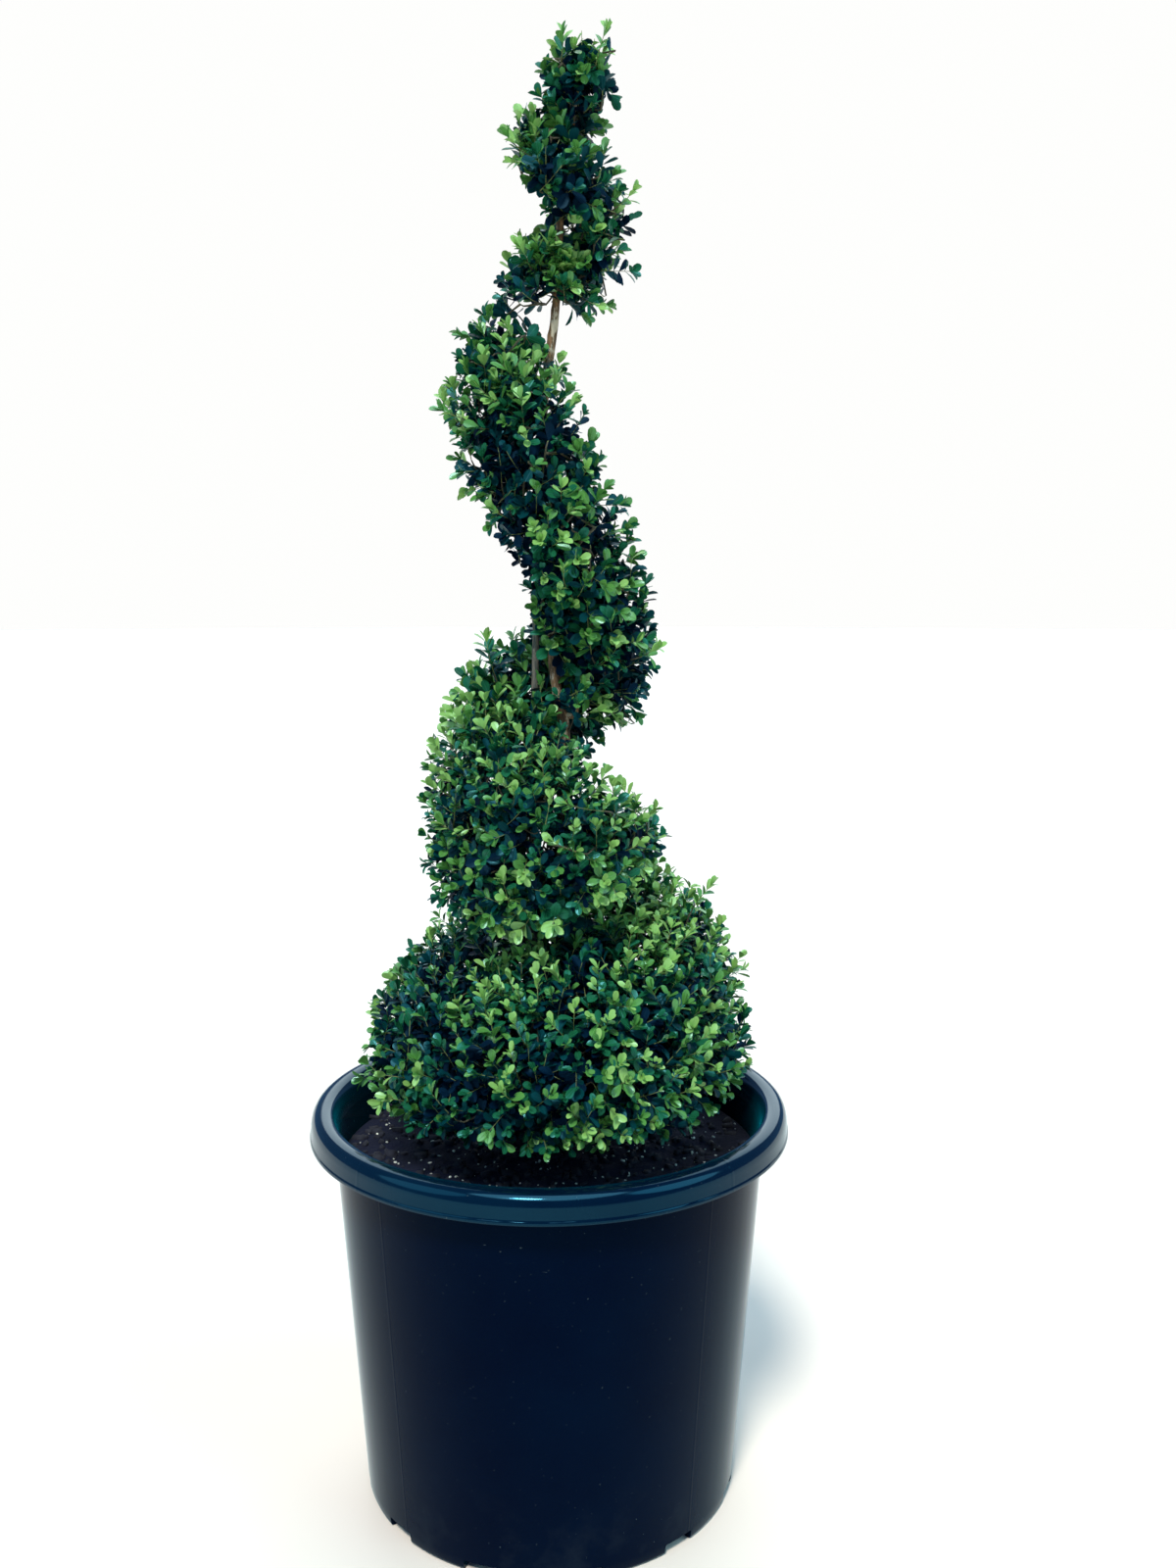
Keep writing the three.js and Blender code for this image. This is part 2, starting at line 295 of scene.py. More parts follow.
def potOutline():
    lip = potHeight - pot["collarDrop"]
    inNeck, inFoot = pot["neck"] - pot["wall"], pot["foot"] - pot["wall"]
    under = potHeight - pot["collarTop"]

    def wallAt(z):
        return pot["foot"] + (pot["neck"] - pot["foot"]) * (z - pot["footRound"]) / (lip - 0.002)

    return [
        (0, 0), (pot["foot"] - pot["footRound"], 0), (pot["foot"] - 0.001, 0.0012),
        (pot["foot"], pot["footRound"]), *[(wallAt(z), z) for z in pot["rings"]],
        (pot["neck"], lip + 0.002), (pot["neck"] + 0.001, under - 0.0045), (pot["neck"] + 0.005, under),
        (rimRadius - 0.009, under), (rimRadius - 0.005, under - 0.0035), (rimRadius - 0.0034, lip),
        (rimRadius, lip), (rimRadius, lip + 0.003), (rimRadius - 0.001, lip + 0.004),
        (rimRadius - 0.0013, potHeight - 0.012), (rimRadius - 0.0022, potHeight - 0.0075),
        (rimRadius - 0.004, potHeight - 0.0037), (rimRadius - 0.0065, potHeight - 0.0015),
        (rimRadius - 0.0095, potHeight - 0.0004), (rimRadius - 0.014, potHeight),
        (inNeck + 0.0065, potHeight - 0.0006), (inNeck + 0.0045, potHeight - 0.0022),
        (inNeck + 0.0025, potHeight - 0.006), (inNeck, potHeight - 0.012), (inNeck, lip),
        *[(wallAt(z) - pot["wall"], z) for z in pot["rings"][1::-1]],
        (inFoot, pot["floor"] + 0.003), (inFoot - 0.003, pot["floor"]), (0, pot["floor"]),
    ]


def cutNotches(piece):
    # each drain notch is a low window through the wall's foot and the floor's edge
    bm = bmesh.new()
    size = (pot["notchReach"], pot["notchWidth"], 2 * pot["notchHeight"])
    for i in range(pot["notches"]):
        cutter = bmesh.ops.create_cube(bm, size=1.0)["verts"]
        bmesh.ops.scale(bm, verts=cutter, vec=size)
        edges = dict.fromkeys(e for v in cutter for e in v.link_edges)
        lengthwise = [e for e in edges if abs(e.verts[0].co.x - e.verts[1].co.x) > size[0] / 2]
        rounded = bmesh.ops.bevel(bm, geom=lengthwise, offset=pot["notchRound"], offset_type="OFFSET",
                                  affect="EDGES", segments=3, profile=0.5, material=-1)
        cutter = list({v for f in rounded["faces"] for v in f.verts})
        bmesh.ops.translate(bm, verts=cutter, vec=(pot["foot"], 0, 0))
        turn = 2 * math.pi * (pot["firstNotch"] + i / pot["notches"])
        bmesh.ops.rotate(bm, verts=cutter, cent=(0, 0, 0), matrix=Matrix.Rotation(turn, 3, "Z"))
    bmesh.ops.recalc_face_normals(bm, faces=bm.faces)
    tool = bpy.data.objects.new("notchTool", meshOf(bm, "notchTool"))
    bpy.context.scene.collection.objects.link(tool)
    cut = piece.modifiers.new("notches", "BOOLEAN")
    cut.object = tool
    cut.operation = "DIFFERENCE"
    cut.solver = "EXACT"
    applyModifiers(piece)
    bpy.data.objects.remove(tool)


plastic = {
    "tint": (0.15, 0.65, 1.0),
    "sheen": (0.0, 0.4, 0.55),
    "mark": (0.1, 0.13, 0.13),  # colour of the specks, dust and scuffs
    "specks": (0.745, 0.77, 0.6),  # range of the noise that shows, and strength
    "scuffs": (0.73, 0.77, 0.2),
    "dust": (0.5, 0.8, 0.2),
    "dustHeight": 0.09,
    "roughness": (0.06, 0.16),
    "grain": 0.1,
    "mouldLines": 4,
    "mouldLineEdge": -0.9994,  # cosine at a line's edge
    "relief": 0.00014,
}


def potPlastic(name, ior, dark, pale):
    material, tree, shader = newMaterial(name, IOR=ior, SpecularTint=plastic["tint"], SheenWeight=0.2,
                                         SheenRoughness=0.32, SheenTint=plastic["sheen"])
    place = objectPlace(tree)
    axes = addNode(tree, "SeparateXYZ", {"Vector": place}).outputs
    base = addRamp(tree, addNoise(tree, place, 5.0, 5.0), [(0.35, dark), (0.7, pale)])
    specks = addMask(tree, addNoise(tree, place, 420.0, 2.0), *plastic["specks"])
    low = addRange(tree, axes["Z"], 0.0, plastic["dustHeight"], 0.5, 0.0)
    clouds = addMask(tree, addNoise(tree, place, 22.0, 6.0), *plastic["dust"])
    dust = addMath(tree, "MULTIPLY", low, clouds)
    streaks = addNoise(tree, objectPlace(tree, (1, 1, 9)), 26.0, 3.0)
    scuffs = addMask(tree, streaks, *plastic["scuffs"])
    marks = addMath(tree, "MAXIMUM", addMath(tree, "MAXIMUM", specks, dust), scuffs)
    inputs = {"Factor": marks, "A": base, "B": (*plastic["mark"], 1)}
    mixed = addNode(tree, "Mix", inputs, data_type="RGBA")
    tree.links.new(mixed.outputs["Result"], shader.inputs["Base Color"])
    haze = addNoise(tree, objectPlace(tree, (1, 1, 0.25)), 30.0, 6.0)
    tree.links.new(addRange(tree, haze, 0.3, 0.75, *plastic["roughness"]), shader.inputs["Roughness"])
    around = addMath(tree, "ARCTAN2", axes["Y"], axes["X"])
    wave = addMath(tree, "COSINE", addMath(tree, "MULTIPLY", around, plastic["mouldLines"]))
    mouldLines = addRange(tree, wave, -1.0, plastic["mouldLineEdge"], 1.0, 0.0)
    grain = addMath(tree, "MULTIPLY", addNoise(tree, place, 900.0, 2.0), plastic["grain"])
    relief = addMath(tree, "ADD", grain, mouldLines)
    tree.links.new(addBump(tree, relief, plastic["relief"], 0.6), shader.inputs["Normal"])
    return material


def makePot():
    bm = spinOutline(potOutline(), pot["sides"])
    bevelCorners(bm, width=pot["round"], segments=2, least=40)
    collarFoot = potHeight - pot["collarDrop"] - 0.001
    for face in bm.faces:
        face.material_index = int(face.calc_center_median().z > collarFoot)
    wall = potPlastic("black nursery plastic", 1.13, (0.0002, 0.001, 0.01), (0.0003, 0.003, 0.015))
    # the rim's plastic is a little paler and glossier than the wall's
    rim = potPlastic("rim black plastic", 1.45, (0.0002, 0.003, 0.012), (0.0008, 0.009, 0.022))
    piece = newPiece("nursery_pot", meshOf(bm, "nursery_pot"), [wall, rim])
    cutNotches(piece)
    piece.data.shade_smooth()
    piece.data.set_sharp_from_angle(angle=math.radians(34))
    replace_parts(piece, "pot")


makePot()
print("pot made")


mix = {
    "seed": 3,
    "lump": 0.0035,
    "lumpScale": 40,
    "edge": 0.02,  # the lumps fade out over this width at the wall
    "rings": 44,
    "sides": 120,
    "margin": 0.006,
    "chips": 900,
    "chipSize": (0.003, 0.008),
    "grains": 520,
    "grainSize": (0.0018, 0.0038),
}


def mixMaterial():
    material, tree, shader = newMaterial("potting mix", Roughness=0.92, SpecularIORLevel=0.25)
    place = objectPlace(tree)
    lumps = addNoise(tree, place, 160.0, 6.0)
    colour = addRamp(tree, lumps, [(0.3, (0.0006, 0.0025, 0.02)), (0.7, (0.0035, 0.007, 0.026))])
    tree.links.new(colour, shader.inputs["Base Color"])
    tree.links.new(addBump(tree, addNoise(tree, place, 260.0, 6.0), 0.002), shader.inputs["Normal"])
    return material


def scatterSolid(name, template, count, sizes, reach, level, material, rng):
    # one small closed shape repeated over the mix, turned and stretched at random
    shape = np.array([v.co[:] for v in template.verts])
    faces = np.array([[v.index for v in f.verts] for f in template.faces])
    points = []
    for _ in range(count):
        angle, r = rng.uniform(0, 2 * math.pi), reach * math.sqrt(rng.random())
        size = rng.uniform(*sizes)
        stretch = np.array([rng.uniform(0.6, 1.5), rng.uniform(0.6, 1.2), rng.uniform(0.35, 0.9)]) * size
        turn = np.array(Vector((rng.gauss(0, 1), rng.gauss(0, 1), rng.gauss(0, 1.6))).normalized()
                        .to_track_quat("Z", "Y").to_matrix())
        x, y = r * math.cos(angle), r * math.sin(angle)
        points.append((shape * stretch) @ turn.T + (x, y, level(x, y)))
    offsets = np.arange(count)[:, None, None] * len(shape)
    grown = (faces[None] + offsets).reshape(-1, faces.shape[1])
    newPiece(name, joinedMesh(name, np.concatenate(points), [grown]), [material])


def makeMix():
    rng = random.Random(mix["seed"])
    low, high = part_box("potting_mix")
    radius = high.x
    reach = radius - mix["margin"]
    surface = [(radius * i / mix["rings"], high.z) for i in range(mix["rings"])]
    foot = pot["foot"] - pot["wall"] - 0.001
    sides = [(radius, high.z - mix["margin"]), (foot, low.z + mix["margin"])]
    bm = spinOutline(surface + sides + [(0, low.z)], mix["sides"])

    def level(x, y):
        edge = min(1.0, (radius - math.hypot(x, y)) / mix["edge"])
        lump = noise.fractal(Vector((x * mix["lumpScale"], y * mix["lumpScale"], 0)), 0.8, 2.2, 4)
        return high.z - 0.002 + mix["lump"] * max(edge, 0) * (lump - 0.2)

    for v in bm.verts:
        if v.co.z > high.z - 0.003:
            v.co.z = level(v.co.x, v.co.y)
    piece = newPiece("potting_mix_bed", meshOf(bm, "potting_mix_bed", 60), [mixMaterial()])
    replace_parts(piece, "potting_mix")

    chip = bmesh.new()
    bmesh.ops.create_cube(chip, size=1.0)
    bmesh.ops.rotate(chip, verts=chip.verts[:4], cent=(0, 0, 0), matrix=Matrix.Rotation(0.3, 3, "Z"))
    bark, _, _ = newMaterial("mix bark", BaseColor=(0.005, 0.007, 0.02), Roughness=0.85)
    scatterSolid("mix_bark_chips", chip, mix["chips"], mix["chipSize"], reach, level, bark, rng)
    chip.free()
    grain = bmesh.new()
    bmesh.ops.create_icosphere(grain, subdivisions=1, radius=0.5)
    white, _, _ = newMaterial("mix mineral", BaseColor=(0.7, 0.74, 0.66), Roughness=0.8)
    scatterSolid("mix_mineral_grains", grain, mix["grains"], mix["grainSize"], reach, level, white, rng)
    grain.free()


makeMix()
print("potting mix made")


limbs = {
    "seed": 5,
    "levels": 2,
    "ridge": 0.0006,
    "ridgeScale": (420, 34),  # across and along the limb
    "flake": 0.0004,
    "flakeScale": (150, 60),
    "flakeEdge": 0.12,  # flakes stand up where the noise is above this
    "knots": 26,
    "knotHeight": 0.0011,
    "knotWidth": 0.0045,
}


def barkMaterial(name, dark, ground, warm, pale, patches):
    material, tree, shader = newMaterial(name, SpecularIORLevel=0.3)
    along = objectPlace(tree, (1, 1, 0.16))
    streaks = addNoise(tree, along, 420.0, 8.0, 0.7)
    base = addRamp(tree, streaks, [(0.32, dark), (0.45, ground), (0.6, warm)])
    flakes = addRange(tree, addNoise(tree, objectPlace(tree, (1, 1, 0.35)), 120.0, 6.0, 0.65),
                      patches, patches + 0.05, 0.0, 1.0)
    mixed = addNode(tree, "Mix", {"Factor": flakes, "A": base, "B": (*pale, 1)}, data_type="RGBA")
    tree.links.new(mixed.outputs["Result"], shader.inputs["Base Color"])
    tree.links.new(addRange(tree, streaks, 0.3, 0.7, 0.9, 0.65), shader.inputs["Roughness"])
    relief = addMath(tree, "ADD", streaks, addMath(tree, "MULTIPLY", flakes, 0.4))
    tree.links.new(addBump(tree, relief, 0.0009), shader.inputs["Normal"])
    return material


def stretched(place, scale):
    across, along = scale
    return Vector((place.x * across, place.y * across, place.z * along))


def makeLimb(node, name, material):
    rng = random.Random(limbs["seed"])
    bm = mergedCopy(node)
    bmesh.ops.join_triangles(bm, faces=bm.faces, angle_face_threshold=0.7, angle_shape_threshold=0.9)
    piece = newPiece(name, meshOf(bm, name), [material])
    smooth = piece.modifiers.new("round", "SUBSURF")
    smooth.levels = smooth.render_levels = limbs["levels"]
    applyModifiers(piece)
    vertices = piece.data.vertices
    knots = [(vertices[rng.randrange(len(vertices))].co.copy(), rng.uniform(0.4, 1.0))
             for _ in range(limbs["knots"])]
    for v, normal in [(v, v.normal.copy()) for v in vertices]:
        place = v.co
        ridge = noise.fractal(stretched(place, limbs["ridgeScale"]), 0.7, 2.1, 4)
        flake = noise.noise(stretched(place, limbs["flakeScale"])) > limbs["flakeEdge"]
        swell = sum(size * math.exp(-((place - at).length / limbs["knotWidth"]) ** 2) for at, size in knots)
        rise = limbs["ridge"] * ridge + limbs["flake"] * flake + limbs["knotHeight"] * swell
        v.co = place + normal * rise
    piece.data.shade_smooth()
    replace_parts(piece, node)


trunkBark = barkMaterial("trunk bark", (0.022, 0.018, 0.013), (0.1, 0.065, 0.035), (0.27, 0.15, 0.07),
                         (0.52, 0.45, 0.32), 0.535)
stemBark = barkMaterial("stem bark", (0.025, 0.032, 0.03), (0.09, 0.1, 0.085), (0.19, 0.165, 0.13),
                        (0.3, 0.27, 0.22), 0.6)
makeLimb("trunk", "trunk_bark", trunkBark)
makeLimb("second_stem", "second_stem_bark", stemBark)
makeLimb("knuckle_bough", "knuckle_bough_bark", trunkBark)
print("limbs made")


crown = {
    "seed": 17,
    "layers": [  # depth under the clipped surface, spacing and stem length
        {"depth": (0.003, 0.0135), "spacing": 0.0156, "stem": (0.028, 0.046)},
        {"depth": (0.018, 0.029), "spacing": 0.0172, "stem": (0.024, 0.036)},
        {"depth": (0.032, 0.046), "spacing": 0.0235, "stem": (0.020, 0.030)},
        {"depth": (0.056, 0.085), "spacing": 0.036, "stem": (0.020, 0.030)},
    ],
    "tries": 7,  # for each place that the spacing leaves room for
    "seam": 0.003,  # faces nearer than this to the next mass are inside the crown
    "bore": 0.0035,  # and so are faces nearer than this to a limb
    "limbClear": 0.004,
    "looseShare": 0.05,  # of the outer shoots, that stand a little out of the clipped shape
    "looseReach": (0.005, 0.016),
    "outside": 0.006,  # how far a twig may stray from the masses
}
# Extra shoots that hide a limb: limb, heights, middle and half width of the arc in degrees from +X,
# distance from the bark, number
screens = [
    ("trunk", (1.106, 1.144), (-88, 75), (0.006, 0.02), 22),
    ("trunk", (1.106, 1.144), (-85, 25), (0.006, 0.014), 12),
    ("trunk", (1.166, 1.238), (-90, 90), (0.007, 0.02), 24),
    ("trunk", (1.238, 1.300), (-80, 110), (0.008, 0.022), 22),
    ("trunk", (1.258, 1.292), (205, 35), (0.014, 0.03), 12),
    ("trunk", (0.800, 0.850), (-75, 65), (0.005, 0.02), 14),
    ("trunk", (0.736, 0.768), (-40, 50), (0.012, 0.03), 6),
    ("trunk", (1.100, 1.160), (180, 50), (0.012, 0.045), 26),
    ("second_stem", (0.856, 0.930), (-90, 70), (0.008, 0.02), 10),
    ("trunk", (0.500, 0.545), (-20, 60), (0.02, 0.05), 24),
    ("trunk", (1.028, 1.054), (-90, 70), (0.006, 0.02), 9),
]
screenStem = (0.014, 0.024)
strays = [  # long shoots that stand out of the front: foot and tip (x, z), tone
    ((0.064, 1.172), (0.074, 1.184), 4.4),
    ((-0.020, 1.214), (-0.030, 1.224), 2.6),
    ((-0.068, 0.990), (-0.086, 0.998), 2.4),
    ((0.042, 1.292), (0.051, 1.317), 4.2),
    ((0.032, 1.100), (0.045, 1.094), 3.0),
    ((0.008, 0.985), (0.024, 1.002), 3.2),
    ((0.014, 1.294), (0.015, 1.313), 2.5),
    ((0.082, 0.786), (0.096, 0.796), 3.6),
    ((-0.052, 0.770), (-0.056, 0.800), 2.8),
    ((0.031, 0.790), (0.037, 0.856), 3.4),
    ((0.050, 0.776), (0.064, 0.800), 3.6),
    ((0.128, 0.560), (0.146, 0.584), 4.0),
]
airGaps = [  # small holes right through the crown, seen from the front: middle and reach
    ((0.021, 0.0, 1.164), 0.008),
    ((-0.069, 0.0, 0.962), 0.008),
    ((-0.039, 0.0, 0.945), 0.007),
    ((-0.021, 0.0, 0.932), 0.006),
    ((0.036, 0.0, 0.739), 0.007),
]
masses = [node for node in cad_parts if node.startswith("foliage_")]
limbStep = 0.006  # between the points along a limb


def massSurfaces():
    trees, parts = {}, {}
    for node in masses:
        bm = mergedCopy(node)
        trees[node] = BVHTree.FromBMesh(bm)
        parts[node] = bm
    return trees, parts


def inMass(node, place):
    # counts how often a ray from the place crosses the mass's skin
    low, high = massBoxes[node]
    if any(place[i] < low[i] or place[i] > high[i] for i in range(3)):
        return False
    ray, crossings = Vector((0.31, 0.17, 0.935)).normalized(), 0
    at = massTrees[node].ray_cast(place, ray)[0]
    while at is not None:
        crossings += 1
        at = massTrees[node].ray_cast(at + ray * 1e-5, ray)[0]
    return crossings % 2 == 1


def limbPoints(node):
    # the middle and radius of each ring of a limb, finely spaced
    rings = {}
    bm = mergedCopy(node)
    for v in bm.verts:
        rings.setdefault(round(v.co.z, 3), []).append(v.co.copy())
    bm.free()
    rows = []
    for height in sorted(rings):
        ring = rings[height]
        if len(ring) < 4:
            continue
        middle = sum(ring, Vector()) / len(ring)
        rows.append((middle, sum((v - middle).length for v in ring) / len(ring)))
    fine = []
    for (a, ra), (b, rb) in zip(rows, rows[1:]):
        steps = max(1, int((b - a).length / limbStep))
        fine += [(a.lerp(b, i / steps), ra + (rb - ra) * i / steps) for i in range(steps)]
    return fine + rows[-1:]


massTrees, massParts = massSurfaces()
massBoxes = {node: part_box(node) for node in masses}
limbLines = {node: limbPoints(node) for node in ("trunk", "second_stem")}
limbTree = KDTree(sum(len(line) for line in limbLines.values()))
limbRadii = []
for line in limbLines.values():
    for middle, radius in line:
        limbTree.insert(middle, len(limbRadii))
        limbRadii.append(radius)
limbTree.balance()


def limbGap(place):
    _, index, distance = limbTree.find(place)
    return distance - limbRadii[index]


def outerSurface():
    # triangles of the crown's outside, without the seams between masses and the bores round the limbs
    corners, faces = [], []
    for node, bm in massParts.items():
        bmesh.ops.triangulate(bm, faces=bm.faces)
        for face in bm.faces:
            middle = face.calc_center_median()
            probe = middle + face.normal * crown["seam"]
            if limbGap(middle) < crown["bore"]:
                continue
            if any(other != node and inMass(other, probe) for other in masses):
                continue
            faces.append(range(len(corners), len(corners) + 3))
            corners += [v.co.copy() for v in face.verts]
        bm.free()
    return corners, [tuple(f) for f in faces]


outerCorners, outerFaces = outerSurface()
outerTree = BVHTree.FromPolygons(outerCorners, outerFaces)
outerAreas = []
for a, b, c in outerFaces:
    pair = outerCorners[b] - outerCorners[a], outerCorners[c] - outerCorners[a]
    outerAreas.append(pair[0].cross(pair[1]).length / 2)
print("crown surface", round(sum(outerAreas), 3), "m2 in", len(outerFaces), "triangles")


class Spacing:
    # remembers points and tells whether a new one is too near
    def __init__(self, gap):
        self.gap = gap
        self.cells = {}

    def key(self, place):
        return tuple(math.floor(c / self.gap) for c in place)

    def take(self, place):
        x, y, z = self.key(place)
        for i in (-1, 0, 1):
            for j in (-1, 0, 1):
                for k in (-1, 0, 1):
                    for other in self.cells.get((x + i, y + j, z + k), ()):
                        if (other - place).length < self.gap:
                            return False
        self.cells.setdefault((x, y, z), []).append(place)
        return True


def homeMass(place):
    return next((node for node in masses if inMass(node, place)), None)


def nearestMass(place):
    return min(masses, key=lambda node: massTrees[node].find_nearest(place)[3])


def inGap(place):
    eye = Vector(view["place"])
    return any((place - eye).cross((Vector(middle) - eye).normalized()).length < reach
               for middle, reach in airGaps)


def outside(line):
    # how many points of a line are out in the open
    return sum(outerTree.find_nearest(p)[3] > crown["outside"] and homeMass(p) is None for p in line)


def layerShoots(inner, layer, rng):
    shoots = []
    spacing = Spacing(layer["spacing"])
    tries = int(sum(outerAreas) / layer["spacing"] ** 2 * crown["tries"])
    for pick in rng.choices(range(len(outerFaces)), weights=outerAreas, k=tries):
        a, b, c = (outerCorners[i] for i in outerFaces[pick])
        u, v = rng.random(), rng.random()
        if u + v > 1:
            u, v = 1 - u, 1 - v
        normal = (b - a).cross(c - a).normalized()
        depth = rng.uniform(*layer["depth"])
        place = a + (b - a) * u + (c - a) * v - normal * depth
        distance = outerTree.find_nearest(place)[3]
        if distance < 0.75 * depth or limbGap(place) < crown["limbClear"]:
            continue
        home = homeMass(place)
        if home is None or inGap(place) or not spacing.take(place):
            continue
        shoots.append({"tip": place, "normal": normal, "home": home, "inner": inner,
                       "stem": rng.uniform(*layer["stem"])})
    return shoots


def screenShoots(node, heights, arc, distances, count, rng):
    shoots = []
    middle, half = arc
    for _ in range(count):
        z = rng.uniform(*heights)
        centre, radius = min(limbLines[node], key=lambda c: abs(c[0].z - z))
        angle = math.radians(middle + rng.uniform(-half, half))
        normal = Vector((math.cos(angle), math.sin(angle), 0))
        place = centre + normal * (radius + rng.uniform(*distances))
        shoots.append({"tip": place, "normal": normal, "home": nearestMass(place), "inner": 0,
                       "stem": rng.uniform(*screenStem), "kept": True})
    return shoots


def strayShoot(footPlace, tipPlace, tone):
    x, z = footPlace
    hit = outerTree.ray_cast(Vector((x, -0.4, z)), Vector((0, 1, 0)))
    surface = hit if hit[0] else outerTree.find_nearest(Vector((x, 0, z)))
    foot = surface[0] + Vector((0, 0.004, 0))
    tip = Vector((tipPlace[0], foot.y - 0.008, tipPlace[1]))
    return {"tip": tip, "normal": surface[1], "home": nearestMass(foot), "inner": 0, "kept": True,
            "stem": (tip - foot).length, "way": (tip - foot).normalized(), "tone": tone}


def shootPlaces():
    rng = random.Random(crown["seed"])
    shoots = []
    for inner, layer in enumerate(crown["layers"]):
        shoots += layerShoots(inner, layer, rng)
    for screen in screens:
        shoots += screenShoots(*screen, rng)
    return shoots + [strayShoot(*stray) for stray in strays]


shoots = shootPlaces()
print(len(shoots), "shoots placed")


growth = {
    "seed": 23,
    "spread": 0.3,  # how far a shoot may lean from its way
    "lift": 0.65,  # how strongly a shoot turns upwards
    "handle": 0.36,  # how stiffly a curve leaves its ends, as a share of its reach
    "bough": (0.0026, 0.0013),  # radii at foot and tip
    "twig": (0.0011, 0.0006),
    "shoot": (0.00055, 0.0003),
    "boughSpacing": 0.05,
    "rise": (0.5, 1.0),  # how far a bough climbs, for its reach
    "boughTrials": 6,
    "twigTrials": 4,
    "longTwig": 0.045,
    "batch": 350,  # shoots joined on before the places to join are listed anew
}


def curve(start, startWay, end, endWay, steps):
    reach = (end - start).length
    b = start + startWay * reach * growth["handle"]
    c = end - endWay * reach * growth["handle"]
    points = []
    for i in range(steps + 1):
        t = i / steps
        s = 1 - t
        points.append(start * s ** 3 + b * 3 * s * s * t + c * 3 * s * t * t + end * t ** 3)
    return points


def shootWay(shoot, rng):
    place, normal = shoot["tip"], shoot["normal"]
    outward = Vector((place.x, place.y, 0))
    outward = outward.normalized() if outward.length > 0.02 else Vector((normal.x, normal.y, 0))
    way = normal + up * growth["lift"]
    if normal.z < -0.1:
        way = normal * 0.6 + outward * (0.5 - normal.z * 0.5) + up * 0.1
    loose = Vector((rng.gauss(0, 1), rng.gauss(0, 1), rng.gauss(0, 1)))
    return (way.normalized() + loose * growth["spread"]).normalized()


def clothed(middle, radius):
    # whether a limb is inside the crown here
    around = [middle + Vector((math.cos(a), math.sin(a), 0)) * (radius + 0.012)
              for a in (0, 1.05, 2.09, 3.14, 4.19, 5.24)]
    return sum(homeMass(p) is not None for p in around) >= 2


def bendShoots(rng):
    # gives each shoot its way, its base and the line between
    for shoot in shoots:
        way = shoot.get("way") or shootWay(shoot, rng)
        if shoot["inner"] == 0 and "tone" not in shoot and rng.random() < crown["looseShare"]:
            shoot["tip"] = shoot["tip"] + way * rng.uniform(*crown["looseReach"])
            shoot["stem"] *= 1.25
        shoot["way"] = way
        bend = (way + up * -0.25 + Vector((rng.gauss(0, 0.2), rng.gauss(0, 0.2), 0))).normalized()
        base = shoot["tip"] - (way * 0.55 + bend * 0.45) * shoot["stem"]
        if limbGap(base) < 0.002:
            base = shoot["tip"].lerp(base, 0.5)
        shoot["base"] = base
        shoot["line"] = curve(base, bend, shoot["tip"], way, 3)


def boughLine(start, target, wander):
    away = Vector((target.x - start.x, target.y - start.y, 0))
    out = (away.normalized() + up * 0.45 + wander).normalized()
    into = ((target - start).normalized() + up * 0.15 + wander).normalized()
    return curve(start, out, target, into, 7)


def growBoughs(clear, nodes, rng):
    # a bough runs from a limb to the base of some of the deeper shoots
    boughs = []
    far = Spacing(growth["boughSpacing"])
    for shoot in sorted((s for s in shoots if s["inner"] in (1, 2)), key=lambda s: -s["inner"]):
        target = shoot["base"]
        if not far.take(target):
            continue
        wanted = target.z - rng.uniform(*growth["rise"]) * Vector((target.x, target.y)).length * 0.8
        ranked = sorted(clear, key=lambda c: abs(c[0].z - wanted) + 0.5 * (c[0] - target).xy.length)
        wander = Vector((rng.gauss(0, 0.15), rng.gauss(0, 0.15), rng.gauss(0, 0.1)))
        trials = []
        for start, radius in ranked[:3 * growth["boughTrials"]:3]:
            line = boughLine(start, target, wander)
            trials.append((outside(line[1:]), line, radius))
        astray, line, radius = min(trials, key=lambda trial: trial[0])
        if astray > 1:
            continue
        thick = min(growth["bough"][0], radius * 0.6)
        boughs.append({"line": line, "home": shoot["home"], "radii": (thick, growth["bough"][1])})
        nodes += [(p, thick) for p in line[2:]]
    return boughs


def twigLine(shoot, tree):
    # the best line from the wood already grown to the shoot's base, and how far it strays
    base, way = shoot["base"], (shoot["line"][1] - shoot["line"][0]).normalized()

    def cost(found):
        step = base - found[0]
        return found[2] * (1.0 if step.length < 1e-6 else 1.6 - step.normalized().dot(way))

    best = None
    for place, _, _ in sorted(tree.find_n(base, 14), key=cost)[:growth["twigTrials"]]:
        step = base - place
        if step.length < 0.001:
            continue
        line = curve(place, (step.normalized() + way * 0.3).normalized(), base, way, 4)
        astray = outside(line[1:]) + (step.length > growth["longTwig"])
        if best is None or astray < best[0]:
            best = astray, line
        if astray == 0:
            break
    return best


def growTwigs(nodes, rng):
    # a shoot is dropped if only a twig through the open air could reach it
    twigs = []
    order = sorted(shoots, key=lambda s: -s["inner"] + rng.random() * 0.8)
    for start in range(0, len(order), growth["batch"]):
        tree = KDTree(len(nodes))
        for i, (place, _) in enumerate(nodes):
            tree.insert(place, i)
        tree.balance()
        for shoot in order[start:start + growth["batch"]]:
            best = twigLine(shoot, tree)
            if best is None or best[0] > (3 if "kept" in shoot else 1):
                shoot["dropped"] = best is not None
                continue
            line = best[1]
            twigs.append({"line": line, "home": shoot["home"], "radii": growth["twig"]})
            nodes += [(p, growth["twig"][0]) for p in line[1:]] + [(shoot["line"][1], 0.0006)]
    return twigs


